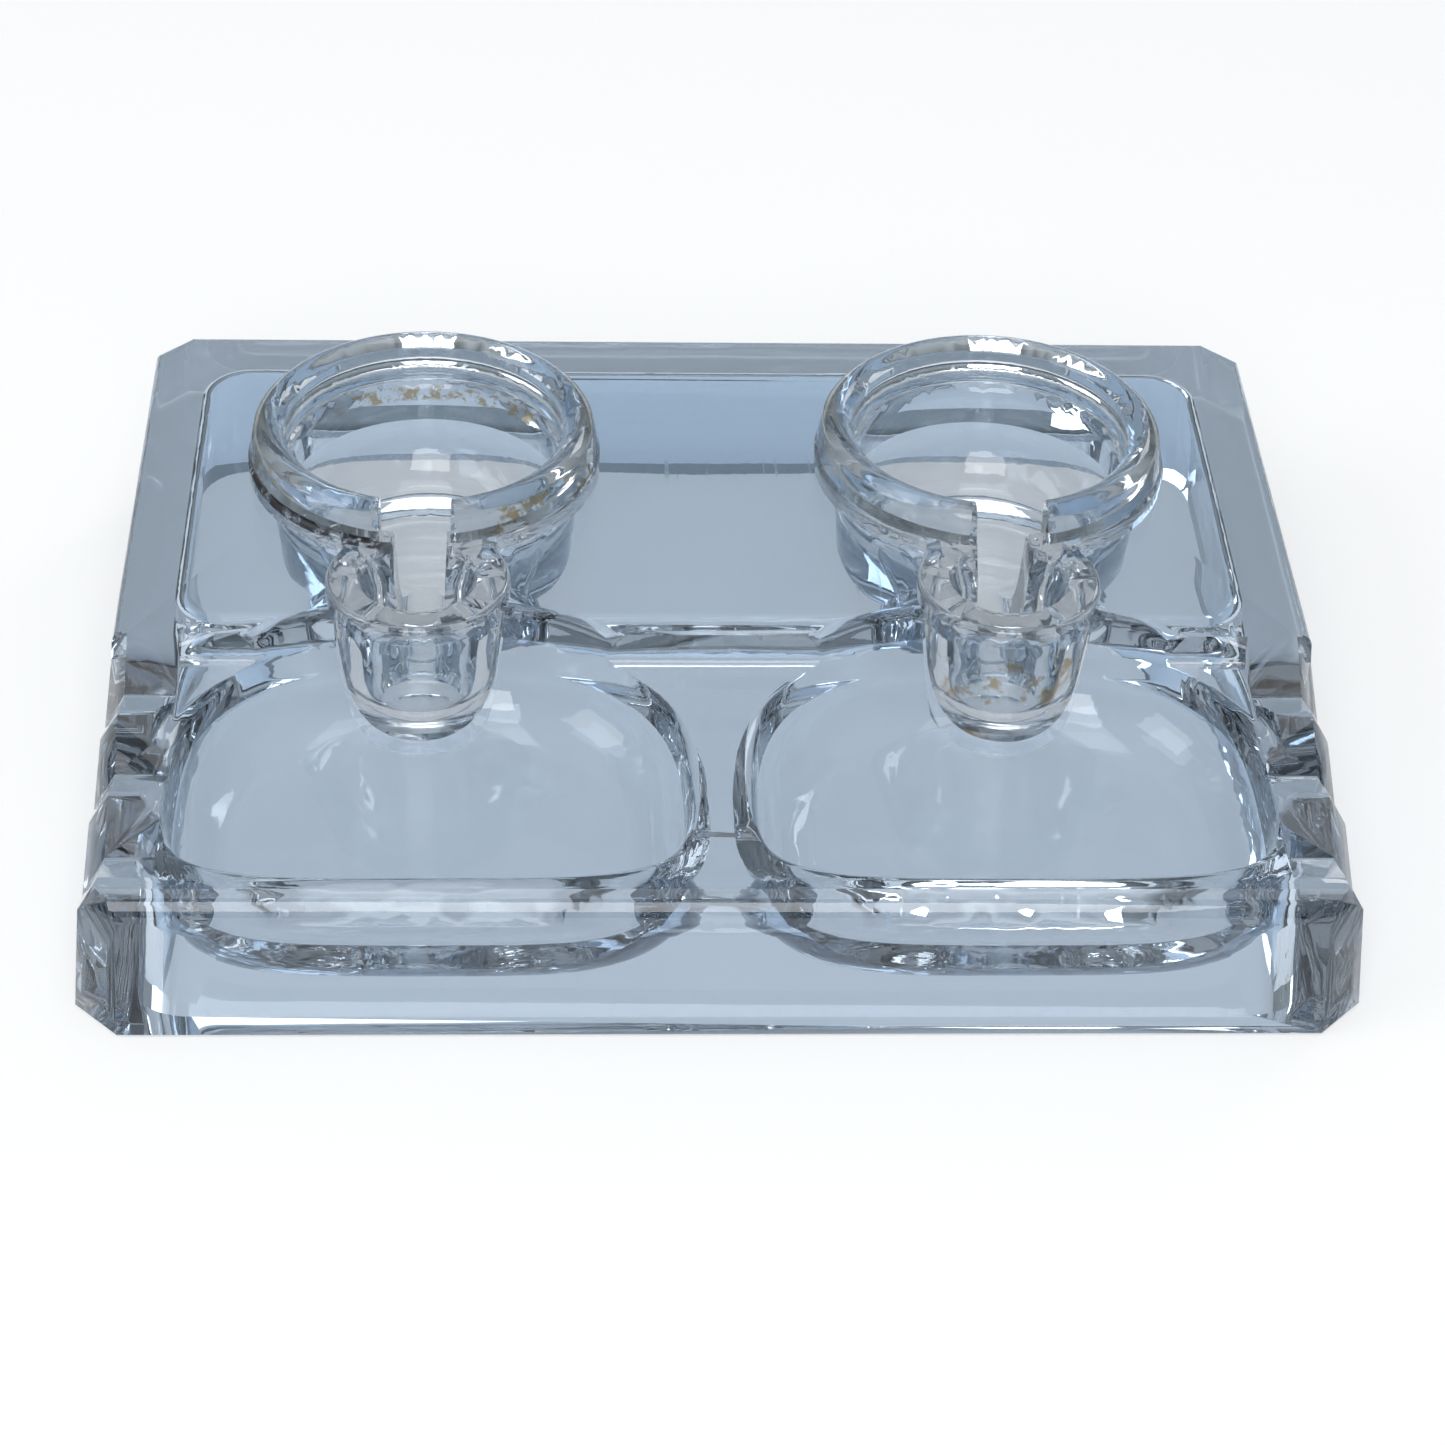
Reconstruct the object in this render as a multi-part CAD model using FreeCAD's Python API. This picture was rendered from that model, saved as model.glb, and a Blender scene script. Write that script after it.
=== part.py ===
import FreeCAD, Part
import math
import os

# A clear glass inkwell stand: a hollow block with a rear deck, two finger dishes
# and notched ends that carry pens, two drop-in wells and two slotted collars.
# Millimetres and degrees. +Z up, front towards -Y, origin under the block's middle.

# Block
stand_width = 165.0
stand_depth = 127.0
deck_height = 26.0
wall_draft = 5.0
corner_cut = 5.8
corner_cut_top = 4.8
top_edge_radius = 1.6
front_edge_radius = 4.0

# Front zone: lower than the deck, with a small step down to the land along the front
front_zone_depth = 50.2
front_back_level = 21.3
front_step_level = 21.3
front_lip_level = 20.6
front_land = 14.0
front_step_run = 0.8
riser_radius = 1.2

# Hollow underneath
end_wall = 8.0
back_wall = 5.0
front_wall = 5.5
hollow_draft = 4.0
hollow_corner = 7.0
hollow_edge_radius = 2.0
deck_plate = 6.5
front_plate = 6.2
riser_wall = 6.0

# Pen rests: notches across both end walls
rest_width = 11.0
rest_count = 3
rest_pitch = 14.6
rest_notch = 4.8
rest_slope_run = 7.6
rest_crest_radius = 1.2
rest_valley_radius = 0.8
rest_bevel_width = 2.0
rest_bevel_drop = 3.6

# Finger dishes: D-shaped bowls, fullest towards the front, with rolled rims
dish_spacing = 75.6
dish_half_width = 33.3
dish_widest = 22.5
dish_back_reach = 34.0
dish_front_reach = 14.5
dish_back_fullness = 2.6
dish_front_fullness = 4.2
dish_depth_fullness = 6.0
dish_floor = 7.0
dish_wall = 4.0
dish_edge_radius = 1.6
dish_rim_radius = 2.4
dish_rim_fade = 9.0
dish_points = 44

# Wells: reservoir, channel and dip cup in one pot, with a flange that sits on the deck
well_spacing = 80.0
well_back = 35.8
cup_offset = 31.5
flange_height = 2.8
flange_radius = 24.8
flange_cup_radius = 12.5
flange_edge_radius = 0.9
flange_waist_radius = 2.5
pot_radius = 22.5
pot_foot_radius = 20.6
pot_foot = 5.5
pot_foot_edge = 3.0
pot_bore = 19.6
pot_bore_foot = 18.0
pot_bore_edge = 12.0
pot_floor = 4.0
neck_width = 17.0
neck_foot = 6.0
channel_width = 7.4
channel_foot_width = 5.6
channel_floor = 3.8
channel_floor_radius = 2.0
cup_radius = 12.0
cup_foot_radius = 9.6
cup_foot = 3.5
cup_foot_edge = 2.0
cup_mouth = 8.2
cup_mouth_drop = 4.5
cup_bore = 6.5
cup_bore_foot = 6.1
cup_bore_edge = 5.0
cup_floor = 4.5
well_clearance = 0.3

# Collars: slotted rings that turn on the wells
collar_foot_radius = 24.5
collar_foot_band = 0.8
collar_height = 5.2
collar_bore = 19.7
collar_crest_radius = 21.6
collar_lip_drop = 1.4
collar_shoulder_radius = 23.9
collar_shoulder_drop = 1.5
collar_slot = 9.8
collar_register = 1.6
collar_register_wall = 1.5
collar_clearance = 0.3
collar_turns = {"left": -1.5, "right": 2.5}

# Worked out from the sizes above
up = FreeCAD.Vector(0, 0, 1)
front_y = -stand_depth / 2
back_y = stand_depth / 2
riser_y = front_y + front_zone_depth
rest_inner = stand_width / 2 - rest_width
rest_drop = (deck_height - front_lip_level) / rest_count
well_y = back_y - well_back
cup_y = well_y - cup_offset
dish_y = front_y + dish_widest
well_x = {"left": -well_spacing / 2, "right": well_spacing / 2}
dish_x = {"left": -dish_spacing / 2, "right": dish_spacing / 2}
flange_top = deck_height + flange_height
register_radius = collar_bore + collar_register_wall
deck_ceiling = deck_height - deck_plate
front_ceiling = front_lip_level - front_plate
sky = 2 * deck_height
far = stand_width


def front_level(y):
    """Height of the front zone at depth y: a gentle slope, a step and a level land."""
    land = front_y + front_land
    step = land + front_step_run
    if y <= land:
        return front_lip_level
    if y <= step:
        return front_lip_level + (front_step_level - front_lip_level) * (y - land) / front_step_run
    fall = front_back_level - front_step_level
    return front_step_level + fall * min(1, (y - step) / (riser_y - step))


def rounded_rectangle(width, depth, y_middle, radius, z):
    """Closed wire at height z: a rectangle with round corners."""
    x = width / 2
    y = depth / 2
    k = radius * (1 - math.sqrt(0.5))
    edges = []
    for i, (sx, sy) in enumerate([(1, 1), (-1, 1), (-1, -1), (1, -1)]):
        side = FreeCAD.Vector(sx * x, y_middle + sy * (y - radius), z)
        mid = FreeCAD.Vector(sx * (x - k), y_middle + sy * (y - k), z)
        end = FreeCAD.Vector(sx * (x - radius), y_middle + sy * y, z)
        first, last = (side, end) if i % 2 == 0 else (end, side)
        if edges:
            edges.append(Part.LineSegment(edges[-1].EndPoint, first))
        edges.append(Part.Arc(first, mid, last))
    edges.append(Part.LineSegment(edges[-1].EndPoint, edges[0].StartPoint))
    return Part.Wire([edge.toShape() for edge in edges])


def cut_rectangle(width, depth, y_middle, cut, z):
    """Closed wire at height z: a rectangle with its corners cut off flat."""
    x = width / 2
    y = depth / 2
    places = [(x, y - cut), (x - cut, y), (cut - x, y), (-x, y - cut),
              (-x, cut - y), (cut - x, -y), (x - cut, -y), (x, cut - y)]
    ring = [FreeCAD.Vector(px, y_middle + py, z) for px, py in places]
    return Part.makePolygon(ring + ring[:1])


def tapered_block(outline, width, depth, y_middle, corners, height, lean_angle):
    """A block that stands at z = 0 and narrows upwards; corner sizes at foot and head."""
    lean = 2 * height * math.tan(math.radians(lean_angle))
    foot = outline(width, depth, y_middle, corners[0], 0)
    head = outline(width - lean, depth - lean, y_middle, corners[1], height)
    return Part.makeLoft([foot, head], True, True)


def along_x(points, x_from, x_to):
    """Solid from a closed outline in the Y-Z plane, carried along X."""
    ring = [FreeCAD.Vector(x_from, y, z) for y, z in points]
    face = Part.Face(Part.makePolygon(ring + ring[:1]))
    return face.extrude(FreeCAD.Vector(x_to - x_from, 0, 0))


def edges_along_x(shape, places):
    """Edges that run along X through the given (y, z) places."""
    found = []
    for edge in shape.Edges:
        a = edge.Vertexes[0].Point
        b = edge.Vertexes[-1].Point
        if math.hypot(a.y - b.y, a.z - b.z) > 1e-6:
            continue
        if any(math.hypot(a.y - y, a.z - z) < 1e-3 for y, z in places):
            found.append(edge)
    return found


def level_edges(shape, z):
    """Edges that lie in the level plane z."""
    return [e for e in shape.Edges
            if abs(e.BoundBox.ZMin - z) < 1e-4 and abs(e.BoundBox.ZMax - z) < 1e-4]


def front_zone_space():
    """Space over the front zone, between the two notched end walls."""
    corner = (riser_y, front_back_level)
    land = front_y + front_land
    points = [corner, (riser_y, sky), (front_y - far, sky), (front_y - far, front_lip_level),
              (land, front_lip_level), (land + front_step_run, front_step_level)]
    space = along_x(points, -rest_inner, rest_inner)
    return space.makeFillet(riser_radius, edges_along_x(space, [corner]))


def rest_spaces(sign):
    """Spaces over one end wall: falling notches for the pens, and a bevel along their outer edge."""
    crests = []
    valleys = []
    for i in range(rest_count + 1):
        y = riser_y - i * rest_pitch
        z = deck_height - i * rest_drop
        crests.append((y, z))
        if i < rest_count:
            valleys.append((y - rest_slope_run, z - rest_notch))
    points = [crests[0]]
    for valley, crest in zip(valleys, crests[1:]):
        points += [valley, crest]
    points += [(front_y - far, crests[-1][1]), (front_y - far, sky), (riser_y, sky)]
    space = along_x(points, sign * rest_inner, sign * (rest_inner + far))
    space = space.makeFillet(rest_valley_radius, edges_along_x(space, valleys))
    space = space.makeFillet(rest_crest_radius, edges_along_x(space, crests[1:]))
    side = min(space.Faces, key=lambda face: abs(face.BoundBox.XMin) + abs(face.BoundBox.XMax))
    edge = stand_width / 2 - deck_height * math.tan(math.radians(wall_draft)) - rest_bevel_width
    side.translate(FreeCAD.Vector(sign * (edge - rest_inner), 0, 0))
    return space, side.extrude(FreeCAD.Vector(sign * rest_bevel_width, 0, -rest_bevel_drop) * 2)


def front_edge_space():
    """Space in front of the round upper edge along the front."""
    lean = math.radians(wall_draft)
    half = math.radians(45) - lean / 2
    z = front_lip_level - front_edge_radius
    y = front_y + z * math.tan(lean) + front_edge_radius / math.cos(lean)

    def on_arc(angle):
        return FreeCAD.Vector(-far, y - front_edge_radius * math.sin(angle),
                              z + front_edge_radius * math.cos(angle))
    top = on_arc(0)
    foot = on_arc(2 * half)
    arc = Part.Arc(top, on_arc(half), foot).toShape()
    out = front_y - far
    corners = [foot, FreeCAD.Vector(-far, out, foot.z), FreeCAD.Vector(-far, out, sky),
               FreeCAD.Vector(-far, top.y, sky), top]
    face = Part.Face(Part.Wire([arc] + Part.makePolygon(corners).Edges))
    return face.extrude(FreeCAD.Vector(2 * far, 0, 0))


def hollow():
    """The space under the block: lower in front, higher under the deck."""
    width = stand_width - 2 * end_wall
    back = back_y - back_wall

    def chamber(front, ceiling):
        shape = tapered_block(rounded_rectangle, width, back - front, (front + back) / 2,
                              (hollow_corner, hollow_corner), ceiling, hollow_draft)
        return shape.makeFillet(hollow_edge_radius, level_edges(shape, ceiling))

    low = chamber(front_y + front_wall, front_ceiling)
    high = chamber(riser_y + riser_wall, deck_ceiling)
    return low.fuse(high)


def dish_point(turn, share, grow):
    """A point of a dish outline: two half superellipses that meet at the widest line."""
    c = math.cos(turn)
    s = math.sin(turn)
    power = dish_back_fullness if s > 0 else dish_front_fullness
    reach = dish_back_reach if s > 0 else dish_front_reach
    swell = (abs(c) ** power + abs(s) ** power) ** (-1 / power)
    return (dish_half_width * share + grow) * swell * c, (reach * share + grow) * swell * s


def even_turns():
    """Turns that space the points of the full dish outline evenly."""
    fine = [2 * math.pi * i / 4000 for i in range(4001)]
    spots = [dish_point(turn, 1, 0) for turn in fine]
    run = [0]
    for a, b in zip(spots, spots[1:]):
        run.append(run[-1] + math.dist(a, b))
    turns = []
    for i in range(dish_points):
        goal = run[-1] * i / dish_points
        turns.append(next(turn for turn, length in zip(fine, run) if length >= goal))
    return turns


dish_turns = even_turns()


def dish_ring(x, share, grow, height):
    """Closed ring round a dish; grow and height are functions of a point's depth y."""
    points = []
    for turn in dish_turns:
        y = dish_y + dish_point(turn, share, 0)[1]
        px, py = dish_point(turn, share, grow(y))
        points.append(FreeCAD.Vector(x + px, dish_y + py, height(y)))
    return points


def skin(rings):
    """A solid under one smooth surface that rings of points steer, with level ends."""
    around = len(rings[0])
    rows = len(rings)
    poles = [[ring[i] for ring in rings] for i in range(around)]
    surface = Part.BSplineSurface()
    surface.buildFromPolesMultsKnots(
        poles, [1] * (around + 1), [4] + [1] * (rows - 4) + [4],
        [float(i) for i in range(around + 1)], [float(i) for i in range(rows - 2)],
        True, False, 3, 3)
    side = surface.toShape()
    ends = [Part.Face(Part.Wire(edge)) for edge in side.Edges if edge.isClosed()]
    shell = Part.makeShell([side] + ends)
    shell.sewShape()
    solid = Part.makeSolid(shell)
    if solid.Volume < 0:
        solid.reverse()
    return solid


def bowl_rise(share):
    """How far up its wall a bowl is at a share of its full outline, from 0 to 1."""
    return 1 - math.sqrt(1 - share ** dish_depth_fullness)


bowl_shares = (0.15, 0.45, 0.65, 0.78, 0.87, 0.93, 0.97, 0.99, 1)


def dish_shell(x):
    """The outside of a bowl under the block: the dish grown by its wall, up into the deck."""
    floor = dish_floor - dish_wall
    rise = front_back_level - floor
    rings = []
    for share in bowl_shares:
        z = floor + rise * bowl_rise(share)
        rings.append(dish_ring(x, share, lambda y: dish_wall, lambda y: z))
    rings.append(dish_ring(x, 1, lambda y: dish_wall, lambda y: deck_height))
    return skin(rings)


def dish_space(x):
    """The free space of a dish: bowl, rolled rim on the front zone, rolled edge on the deck."""
    def rim_share(y):
        return min(1, max(0, (riser_y - y) / dish_rim_fade - 0.3))

    rings = []
    for share in bowl_shares:
        rise = bowl_rise(share) if rings else 0

        def wall(y):
            return dish_floor + rise * (front_level(y) - dish_rim_radius - dish_floor)
        rings.append(dish_ring(x, share, lambda y: 0, wall))
    for degrees in (25, 50, 75):
        out = dish_rim_radius * (1 - math.cos(math.radians(degrees)))
        drop = dish_rim_radius * (1 - math.sin(math.radians(degrees)))
        rings.append(dish_ring(x, 1, lambda y: out * rim_share(y), lambda y: front_level(y) - drop))
    bend = deck_height - dish_edge_radius
    wide = 1.4 * dish_rim_radius
    rings.append(dish_ring(x, 1, lambda y: wide * rim_share(y),
                           lambda y: front_level(y) + 0.25 * dish_rim_radius))
    for degrees in (0, 25, 50, 75):
        out = dish_edge_radius * (1 - math.cos(math.radians(degrees)))
        z = bend + dish_edge_radius * math.sin(math.radians(degrees))
        rings.append(dish_ring(x, 1, lambda y: wide * rim_share(y) + out, lambda y: z))
    out = 1.5 * dish_edge_radius
    z = deck_height + 0.2 * dish_edge_radius
    rings.append(dish_ring(x, 1, lambda y: wide * rim_share(y) + out, lambda y: z))
    return skin(rings)


def cone(x, y, z_foot, z_head, r_foot, r_head):
    """An upright cone frustum."""
    return Part.makeCone(r_foot, r_head, z_head - z_foot, FreeCAD.Vector(x, y, z_foot), up)


def bar(x, width, y_from, y_to, z_from, z_to):
    """An upright bar centred on x."""
    return Part.makeBox(width, y_to - y_from, z_to - z_from,
                        FreeCAD.Vector(x - width / 2, y_from, z_from))


def disc(x, y, radius, z_from, z_to):
    """An upright disc."""
    return Part.makeCylinder(radius, z_to - z_from, FreeCAD.Vector(x, y, z_from), up)


def keyhole(x, radius, cup, neck, z_from, z_to):
    """Two discs joined by a neck, as a plate."""
    plate = disc(x, well_y, radius, z_from, z_to)
    plate = plate.fuse([disc(x, cup_y, cup, z_from, z_to),
                        bar(x, neck, cup_y, well_y, z_from, z_to)])
    return plate.removeSplitter()


def pot(x, grow, top):
    """The well below its flange: reservoir, neck and cup, grown by a clearance."""
    big = cone(x, well_y, pot_foot - grow, deck_height, pot_foot_radius + grow, pot_radius + grow)
    big = big.makeFillet(pot_foot_edge, level_edges(big, pot_foot - grow))
    small = cone(x, cup_y, cup_foot - grow, deck_height, cup_foot_radius + grow, cup_radius + grow)
    small = small.makeFillet(cup_foot_edge, level_edges(small, cup_foot - grow))
    neck = bar(x, neck_width + 2 * grow, cup_y, well_y, neck_foot - grow, deck_height)
    body = big.fuse([small, neck])
    if top > deck_height:
        head = keyhole(x, pot_radius + grow, cup_radius + grow, neck_width + 2 * grow,
                       deck_height, top)
        body = body.fuse(head)
    return body


def build_stand():
    """The block with its front zone, pen rests, hollow, dishes and well openings."""
    block = tapered_block(cut_rectangle, stand_width, stand_depth, 0,
                          (corner_cut, corner_cut_top), deck_height, wall_draft)
    body = block.makeFillet(top_edge_radius, level_edges(block, deck_height))
    spaces = [front_zone_space(), front_edge_space()] + list(rest_spaces(-1)) + list(rest_spaces(1))
    for space in spaces:
        body = body.cut(space)
    space = hollow()
    for x in dish_x.values():
        space = space.cut(dish_shell(x))
    body = body.cut(space)
    for x in well_x.values():
        body = body.cut(pot(x, well_clearance, sky))
    for x in dish_x.values():
        body = body.cut(dish_space(x))
    return body


def flange_plate(x):
    """The flange: a disc round the reservoir and one round the cup, joined by hollow arcs."""
    big = flange_radius
    small = flange_cup_radius
    bend = flange_waist_radius
    dy = ((small + bend) ** 2 - (big + bend) ** 2 - cup_offset ** 2) / (2 * cup_offset)
    dx = math.sqrt((big + bend) ** 2 - dy ** 2)
    big_share = big / (big + bend)
    small_share = small / (small + bend)
    places = [
        (dx * big_share, dy * big_share),
        (0, big),
        (-dx * big_share, dy * big_share),
        (bend - dx, dy),
        (-dx * small_share, (dy + cup_offset) * small_share - cup_offset),
        (0, -cup_offset - small),
        (dx * small_share, (dy + cup_offset) * small_share - cup_offset),
        (dx - bend, dy),
    ]
    points = [FreeCAD.Vector(x + px, well_y + py, deck_height) for px, py in places]
    points.append(points[0])
    arcs = [Part.Arc(*points[i:i + 3]).toShape() for i in (0, 2, 4, 6)]
    return Part.Face(Part.Wire(arcs)).extrude(up * flange_height)


def channel_space(x):
    """The channel from the cup to the reservoir: a slot with leaning walls and a round floor."""
    low = neck_foot + channel_floor
    half = channel_width / 2
    half_foot = channel_foot_width / 2
    places = [(-half, flange_top), (-half_foot, low), (half_foot, low), (half, flange_top)]
    ring = [FreeCAD.Vector(x + px, cup_y, z) for px, z in places]
    slot = Part.Face(Part.makePolygon(ring + ring[:1])).extrude(FreeCAD.Vector(0, cup_offset, 0))
    corners = [e for e in level_edges(slot, low) if e.Length > channel_width]
    return slot.makeFillet(channel_floor_radius, corners)


def build_well(x):
    """A pot with its flange, reservoir, dip cup, joining channel and collar seat."""
    body = pot(x, 0.0, deck_height)
    flange = flange_plate(x)
    flange = flange.makeFillet(flange_edge_radius, level_edges(flange, flange_top))
    body = body.fuse(flange)
    bore = cone(x, well_y, pot_foot + pot_floor, flange_top, pot_bore_foot, pot_bore)
    bore = bore.makeFillet(pot_bore_edge, level_edges(bore, pot_foot + pot_floor))
    throat = flange_top - cup_mouth_drop
    cup = cone(x, cup_y, cup_foot + cup_floor, throat, cup_bore_foot, cup_bore)
    cup = cup.makeFillet(cup_bore_edge, level_edges(cup, cup_foot + cup_floor))
    mouth = cone(x, cup_y, throat, flange_top, cup_bore, cup_mouth)
    seat = disc(x, well_y, register_radius + collar_clearance,
                flange_top - collar_register - collar_clearance, flange_top)
    for space in (bore, cup, mouth, channel_space(x), seat):
        body = body.cut(space)
    return body


def build_collar(x, turn):
    """A slotted ring with a rounded crest and a skirt that drops into the well's seat."""
    profile = [
        (collar_bore, flange_top - collar_register),
        (register_radius, flange_top - collar_register),
        (register_radius, flange_top),
        (collar_foot_radius, flange_top),
        (collar_foot_radius, flange_top + collar_foot_band),
        (collar_shoulder_radius, flange_top + collar_height - collar_shoulder_drop),
        (collar_crest_radius, flange_top + collar_height),
        (collar_bore, flange_top + collar_height - collar_lip_drop),
    ]
    points = [FreeCAD.Vector(r, 0, z) for r, z in profile]
    lines = [Part.makeLine(a, b) for a, b in zip(points[:5], points[1:6])]
    arch = Part.BSplineCurve()
    arch.interpolate(points[5:8])
    lines.append(arch.toShape())
    lines.append(Part.makeLine(points[7], points[0]))
    ring = Part.Face(Part.Wire(lines)).revolve(FreeCAD.Vector(0, 0, 0), up, 360)
    ring = ring.cut(bar(0, collar_slot, -far, 0, 0, sky))
    ring.rotate(FreeCAD.Vector(0, 0, 0), up, turn)
    ring.translate(FreeCAD.Vector(x, well_y, 0))
    return ring


def main():
    os.makedirs("parts", exist_ok=True)
    shapes = {"stand": build_stand()}
    for side, x in well_x.items():
        shapes[side + "_well"] = build_well(x)
        shapes[side + "_collar"] = build_collar(x, collar_turns[side])
    for name, shape in shapes.items():
        shape.exportStep("parts/" + name + ".step")


main()
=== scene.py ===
import bpy
import bmesh
import math
import numpy as np
from mathutils import Matrix, Vector


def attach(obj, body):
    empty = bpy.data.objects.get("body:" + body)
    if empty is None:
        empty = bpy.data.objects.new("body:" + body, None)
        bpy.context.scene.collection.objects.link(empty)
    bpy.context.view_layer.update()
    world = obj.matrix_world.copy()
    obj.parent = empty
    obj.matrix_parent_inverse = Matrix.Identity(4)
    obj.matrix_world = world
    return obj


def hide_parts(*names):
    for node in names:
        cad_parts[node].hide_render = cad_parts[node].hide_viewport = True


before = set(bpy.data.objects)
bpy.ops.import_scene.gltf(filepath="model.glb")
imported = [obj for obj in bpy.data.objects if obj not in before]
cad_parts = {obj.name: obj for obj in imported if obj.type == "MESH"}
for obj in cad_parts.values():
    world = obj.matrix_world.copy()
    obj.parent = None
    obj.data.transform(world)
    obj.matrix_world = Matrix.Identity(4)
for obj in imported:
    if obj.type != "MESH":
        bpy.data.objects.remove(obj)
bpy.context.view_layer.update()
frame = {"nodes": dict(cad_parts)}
print("frame loaded:", ", ".join(frame["nodes"]))


# wraps an output socket: + - * on it add Math nodes, node() adds any other node
class Sock:
    def __init__(self, tree, out=None):
        self.tree = tree
        self.out = out

    def node(self, kind, settings=None, inputs=None, pick=0):
        made = self.tree.nodes.new(kind)
        for key, value in (settings or {}).items():
            if key == "stops":
                ramp = made.color_ramp
                while len(ramp.elements) < len(value):
                    ramp.elements.new(1.0)
                for spot, (place, colour) in zip(ramp.elements, value):
                    spot.position = place
                    spot.color = colour
            else:
                setattr(made, key, value)
        for key, value in (inputs or {}).items():
            if isinstance(value, Sock):
                self.tree.links.new(value.out, made.inputs[key])
            else:
                made.inputs[key].default_value = value
        return Sock(self.tree, made.outputs[pick] if made.outputs else None)

    def sum2(self, how, a, b):
        return self.node("ShaderNodeMath", {"operation": how}, {0: a, 1: b})

    def __add__(self, other):
        return self.sum2("ADD", self, other)

    def __radd__(self, other):
        return self.sum2("ADD", other, self)

    def __sub__(self, other):
        return self.sum2("SUBTRACT", self, other)

    def __rsub__(self, other):
        return self.sum2("SUBTRACT", other, self)

    def __mul__(self, other):
        return self.sum2("MULTIPLY", self, other)

    # 0 below low, 1 above high, smooth between
    def step(self, low, high):
        return self.node("ShaderNodeMapRange", {"interpolation_type": "SMOOTHSTEP"},
                         {"Value": self, 1: low, 2: high, 3: 0.0, 4: 1.0})

    # 1 between low and high, fading out over soft on both sides
    def band(self, low, high, soft):
        return self.step(low - soft, low) * (1 - self.step(high, high + soft))


def newFinish(name):
    mat = bpy.data.materials.new(name)
    mat.use_nodes = True
    mat.node_tree.nodes.clear()
    return mat, Sock(mat.node_tree)


stainGrain = {"detail": 4.0, "roughness": 0.65, "edge": 0.12, "fade": 0.5}


# where a dried stain lies: a ring round (x, y), cut to a height, a turn and a grainy edge
def stainMask(start, spot, stain):
    x = start.node("ShaderNodeSeparateXYZ", None, {0: spot}, pick="X") - stain["middle"][0]
    y = start.node("ShaderNodeSeparateXYZ", None, {0: spot}, pick="Y") - stain["middle"][1]
    z = start.node("ShaderNodeSeparateXYZ", None, {0: spot}, pick="Z")
    reach = start.sum2("POWER", x * x + y * y, 0.5)
    away = math.radians(stain["facing"])
    ahead = x * math.cos(away) + y * math.sin(away)
    across = y * math.cos(away) - x * math.sin(away)
    turn = start.sum2("ARCTAN2", across, ahead)
    half = math.radians(stain["spread"]) / 2
    grain = start.node("ShaderNodeTexNoise", None, {
        "Vector": spot, "Scale": stain["grain"], "Detail": stainGrain["detail"],
        "Roughness": stainGrain["roughness"]})
    where = (reach.band(*stain["reach"], stain["soft"]) * z.band(*stain["height"], stain["soft"])
             * turn.band(-half, half, half * stainGrain["fade"]))
    return where * grain.step(stain["thin"], stain["thin"] + stainGrain["edge"])


# clear pressed glass: slow ripples from the mould, hair scratches, dried ink in its creases
def pressedGlass(name, look):
    mat, start = newFinish(name)
    spot = start.node("ShaderNodeTexCoord", pick="Object")
    ripple = start.node("ShaderNodeTexNoise", None,
                        {"Vector": spot, "Scale": look["rippleScale"], "Detail": 1.0})
    skin = start.node("ShaderNodeTexNoise", None,
                      {"Vector": spot, "Scale": look["skinScale"], "Detail": 3.0})
    height = ripple + skin * look["skinShare"]
    bump = start.node("ShaderNodeBump", None,
                      {"Height": height, "Strength": look["rippleStrength"],
                       "Distance": look["rippleDepth"]})
    haze = start.node("ShaderNodeTexNoise", None,
                      {"Vector": spot, "Scale": look["hazeScale"], "Detail": 3.0})
    slant = start.node("ShaderNodeMapping", None, {
        "Vector": spot, "Rotation": (*look["scratchLean"], look["scratchTurn"]),
        "Scale": look["scratchScale"]})
    scratch = start.node("ShaderNodeTexNoise", None, {"Vector": slant, "Scale": 1.0, "Detail": 1.0})
    scratch = scratch.step(*look["scratchEdge"])
    rough = look["roughness"] + haze * look["haze"] + scratch * look["scratch"]
    colour = look["tint"]
    for stain in look["stains"]:
        mask = stainMask(start, spot, stain)
        colour = start.node("ShaderNodeMix", {"data_type": "RGBA"},
                            {0: mask, 6: colour, 7: stain["colour"]}, pick=2)
        rough = rough + mask * stain["dull"]
    glass = start.node("ShaderNodeBsdfPrincipled", None, {
        "Base Color": colour, "Roughness": rough, "IOR": look["bend"],
        "Transmission Weight": 1.0, "Normal": bump})
    depth = start.node("ShaderNodeVolumeAbsorption", None,
                       {"Color": look["depthColour"], "Density": look["depth"]})
    start.node("ShaderNodeOutputMaterial", None, {"Surface": glass, "Volume": depth})
    return mat


meshLook = {"joinWithin": 1e-6, "sharpFrom": 24, "faceWeight": 100}


# a copy of a CAD node with its triangles joined and its curved faces smooth; each height z
# becomes top - (top - z) * (1 - gap / tall), so the foot rises by a hair, the top stays, and
# two glass faces never share a plane
def glassCopy(node, mat, gap):
    source = frame["nodes"][node]
    mesh = source.data.copy()
    mesh.name = node + "Glass"
    work = bmesh.new()
    work.from_mesh(mesh)
    bmesh.ops.remove_doubles(work, verts=work.verts, dist=meshLook["joinWithin"])
    work.to_mesh(mesh)
    work.free()
    places = np.empty(len(mesh.vertices) * 3, dtype=np.float32)
    mesh.vertices.foreach_get("co", places)
    heights = places[2::3]
    top = heights.max()
    heights[:] = top - (top - heights) * (1 - gap / (top - heights.min()))
    mesh.vertices.foreach_set("co", places)
    mesh.materials.clear()
    mesh.materials.append(mat)
    mesh.shade_smooth()
    mesh.set_sharp_from_angle(angle=math.radians(meshLook["sharpFrom"]))
    piece = bpy.data.objects.new(node + "Glass", mesh)
    bpy.context.collection.objects.link(piece)
    even = piece.modifiers.new("evenShade", "WEIGHTED_NORMAL")
    even.keep_sharp = True
    even.weight = meshLook["faceWeight"]
    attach(piece, node)
    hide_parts(node)


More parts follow.
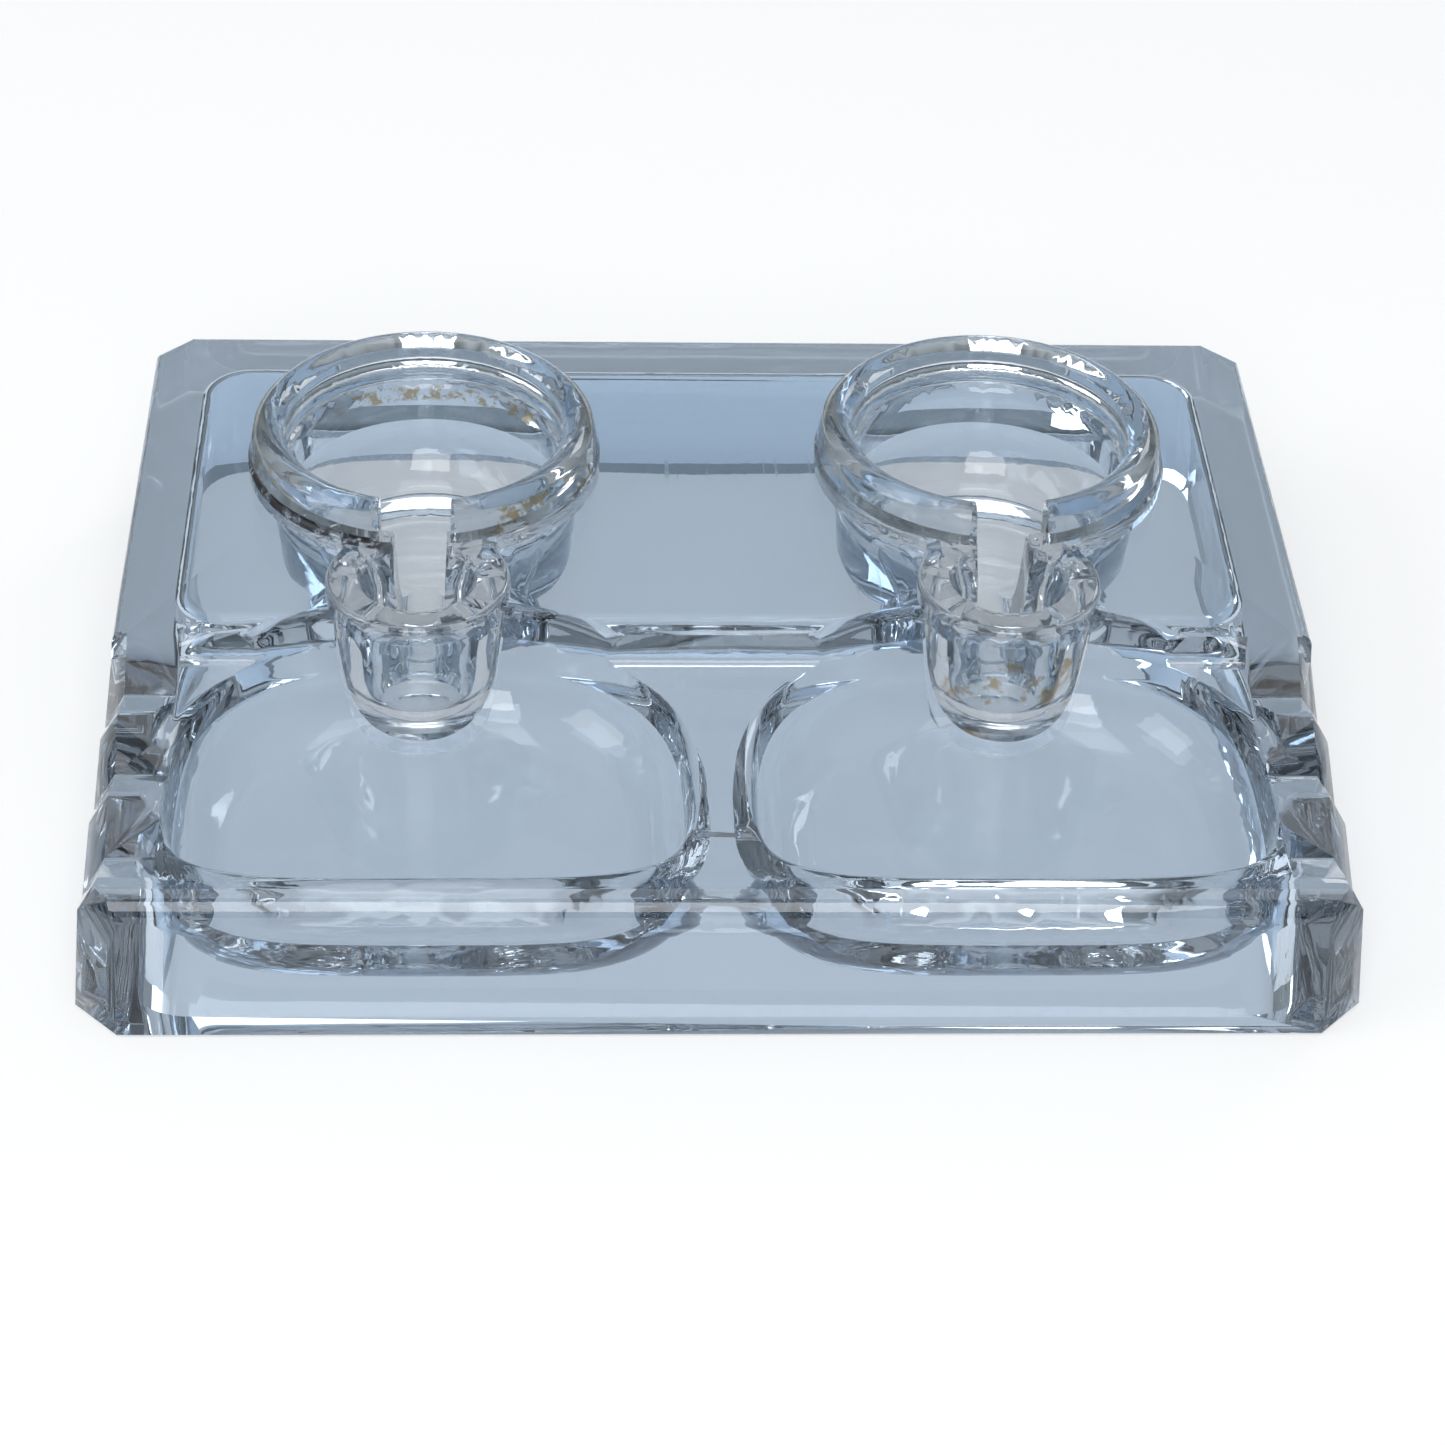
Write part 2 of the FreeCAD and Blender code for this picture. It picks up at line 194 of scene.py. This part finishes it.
leftWell = (-0.04, 0.0277)
rightCup = (0.04, -0.0038)
ink = (0.012, 0.010, 0.012, 1)
rust = (0.42, 0.27, 0.11, 1)
dryInk = {"grain": 420.0, "soft": 0.0002, "colour": ink, "dull": 0.4}
brownRing = {"soft": 0.0006, "colour": rust, "dull": 0.3}
brownSpecks = {"soft": 0.001, "colour": rust}
pressing = {
    "depthColour": (0.50, 0.52, 0.54, 1), "depth": 18.0, "bend": 1.5, "roughness": 0.0,
    "rippleDepth": 0.001, "hazeScale": 240.0, "scratchLean": (0.2, 0.3),
    "scratchScale": (900.0, 60.0, 60.0), "scratchEdge": (0.70, 0.74),
}
standLook = {
    **pressing, "tint": (0.67, 0.775, 0.89, 1), "gap": 0,
    "rippleScale": 60.0, "rippleStrength": 0.06, "skinScale": 900.0, "skinShare": 0.02,
    "haze": 0.02, "scratch": 0.10, "scratchTurn": 0.5,
    "stains": [
        {**brownSpecks, "middle": (0.079, -0.0585), "reach": (0.0, 0.006), "height": (0.0, 0.005),
         "facing": 0, "spread": 360, "grain": 700.0, "thin": 0.56, "dull": 0.3}],
}
wellLook = {
    **pressing, "tint": (0.82, 0.87, 0.92, 1), "gap": 0.0008,
    "rippleScale": 80.0, "rippleStrength": 0.06, "skinScale": 900.0, "skinShare": 0.02,
    "haze": 0.02, "scratch": 0.06, "scratchTurn": 1.1,
}
collarLook = {
    **pressing, "tint": (0.82, 0.87, 0.91, 1), "gap": 0.0001,
    "rippleScale": 90.0, "rippleStrength": 0.08, "skinScale": 1400.0, "skinShare": 0.05,
    "haze": 0.04, "scratch": 0.06, "scratchTurn": 0.1,
}
leftWellStains = [
    {**dryInk, "middle": leftWell, "reach": (0.0242, 0.026), "height": (0.0278, 0.0290),
     "facing": 222, "spread": 70, "thin": 0.40},
    {**brownRing, "middle": leftWell, "reach": (0.016, 0.0205), "height": (0.0245, 0.0262),
     "facing": 82, "spread": 80, "grain": 520.0, "thin": 0.46}]
leftCollarStains = [
    {**dryInk, "middle": leftWell, "reach": (0.0236, 0.026), "height": (0.0280, 0.0293),
     "facing": 222, "spread": 75, "thin": 0.42},
    {**dryInk, "middle": leftWell, "reach": (0.0236, 0.026), "height": (0.0280, 0.0290),
     "facing": 350, "spread": 40, "thin": 0.46},
    {**brownRing, "middle": leftWell, "reach": (0.0225, 0.026), "height": (0.0292, 0.0325),
     "facing": 325, "spread": 55, "grain": 330.0, "thin": 0.50},
    {**brownRing, "middle": leftWell, "reach": (0.0225, 0.026), "height": (0.0292, 0.0325),
     "facing": 196, "spread": 22, "grain": 330.0, "thin": 0.44}]
rightWellStains = [
    {**brownSpecks, "middle": rightCup, "reach": (0.008, 0.013), "height": (0.008, 0.026),
     "facing": 270, "spread": 120, "grain": 260.0, "thin": 0.52, "dull": 0.2}]

glassCopy("stand", pressedGlass("standGlass", standLook), standLook["gap"])
for side, wellStains, collarStains in (("left", leftWellStains, leftCollarStains),
                                       ("right", rightWellStains, [])):
    wellMat = pressedGlass(side + "WellGlass", {**wellLook, "stains": wellStains})
    collarMat = pressedGlass(side + "CollarGlass", {**collarLook, "stains": collarStains})
    glassCopy(side + "_well", wellMat, wellLook["gap"])
    glassCopy(side + "_collar", collarMat, collarLook["gap"])
print("glass pieces made")

floorLook = {"size": 6.0, "drop": 0.0004, "colour": (0.98, 0.98, 0.98, 1), "glow": 0.42}


# pale floor: it glows evenly to the eye and in glass, and keeps a part of its shadow
def makeFloor(look):
    half = look["size"] / 2
    low = -look["drop"]
    mesh = bpy.data.meshes.new("floor")
    mesh.from_pydata([(-half, -half, low), (half, -half, low), (half, half, low),
                      (-half, half, low)], [], [(0, 1, 2, 3)])
    mat, start = newFinish("paleFloor")
    path = "ShaderNodeLightPath"
    seen = (start.node(path, pick="Is Camera Ray") + start.node(path, pick="Is Glossy Ray")
            + start.node(path, pick="Is Transmission Ray"))
    glow = start.node("ShaderNodeEmission", None, {"Color": look["colour"], "Strength": 1.0})
    cloth = start.node("ShaderNodeBsdfDiffuse", None, {"Color": look["colour"]})
    share = start.node("ShaderNodeClamp", None, {"Value": seen}) * look["glow"]
    both = start.node("ShaderNodeMixShader", None, {0: share, 1: cloth, 2: glow})
    start.node("ShaderNodeOutputMaterial", None, {"Surface": both})
    mesh.materials.append(mat)
    floor = bpy.data.objects.new("floor", mesh)
    bpy.context.collection.objects.link(floor)


makeFloor(floorLook)

lampLook = {
    "key": {"place": (-0.1, -1.26, 0.98), "aim": (0, 0, 0), "size": 0.9, "power": 13.0},
    "top": {"place": (0.0, -0.15, 1.5), "aim": (0, 0, 0), "size": 0.9, "power": 4.0},
    "left": {"place": (-1.2, -0.3, 0.8), "aim": (0, 0, 0), "size": 0.8, "power": 4.5},
    "window": {"place": (0.9, 1.0, 0.7), "aim": (0, 0, 0), "size": 0.4, "power": 2.2},
}


def makeLamp(name, look):
    lamp = bpy.data.lights.new(name, "AREA")
    lamp.shape = "SQUARE"
    lamp.size = look["size"]
    lamp.energy = look["power"]
    holder = bpy.data.objects.new(name, lamp)
    aim = Vector(look["aim"]) - Vector(look["place"])
    holder.rotation_euler = aim.to_track_quat("-Z", "Y").to_euler()
    holder.location = look["place"]
    bpy.context.collection.objects.link(holder)


for name, look in lampLook.items():
    makeLamp(name + "Lamp", look)

roomLook = {"low": (0.05, 0.055, 0.055, 1), "middle": (0.20, 0.22, 0.22, 1),
            "high": (0.60, 0.64, 0.68, 1)}


# plain room: dim grey-green walls, paler towards the ceiling
def makeRoom(look):
    world = bpy.data.worlds.new("room")
    bpy.context.scene.world = world
    world.use_nodes = True
    world.node_tree.nodes.clear()
    sky = Sock(world.node_tree)
    way = sky.node("ShaderNodeTexCoord", pick="Generated")
    rise = sky.node("ShaderNodeSeparateXYZ", None, {0: way}, pick="Z")
    shade = sky.node("ShaderNodeValToRGB", {"stops": [
        (0.0, look["low"]), (0.35, look["middle"]), (0.9, look["high"])]}, {"Fac": rise})
    back = sky.node("ShaderNodeBackground", None, {"Color": shade, "Strength": 1.0})
    sky.node("ShaderNodeOutputWorld", None, {"Surface": back})


makeRoom(roomLook)

# camera found by matching corners, collars and cups with the photograph
cameraLook = {"place": (-0.0213, -0.4133, 0.3211), "yaw": 3.228, "pitch": 37.72, "roll": 2.091,
              "lens": 92.78, "sensor": 36, "nearest": 0.01}


def makeCamera(look):
    yaw, pitch, roll = (math.radians(look[k]) for k in ("yaw", "pitch", "roll"))
    ahead = Vector((math.sin(yaw) * math.cos(pitch), math.cos(yaw) * math.cos(pitch),
                    -math.sin(pitch)))
    right = ahead.cross(Vector((0, 0, 1))).normalized()
    top = right.cross(ahead)
    side = right * math.cos(roll) + top * math.sin(roll)
    head = top * math.cos(roll) - right * math.sin(roll)
    turn = Matrix((side, head, -ahead)).transposed()
    lens = bpy.data.cameras.new("camera")
    lens.lens = look["lens"]
    lens.sensor_width = look["sensor"]
    lens.clip_start = look["nearest"]
    holder = bpy.data.objects.new("camera", lens)
    holder.matrix_world = Matrix.Translation(look["place"]) @ turn.to_4x4()
    bpy.context.collection.objects.link(holder)
    bpy.context.scene.camera = holder


makeCamera(cameraLook)
bpy.context.scene.view_settings.view_transform = "Standard"

# thick glass needs long light paths
pathLook = {"max_bounces": 40, "glossy_bounces": 24, "transmission_bounces": 40}
for name, count in pathLook.items():
    setattr(bpy.context.scene.cycles, name, count)
print("stage, lamps and camera set")
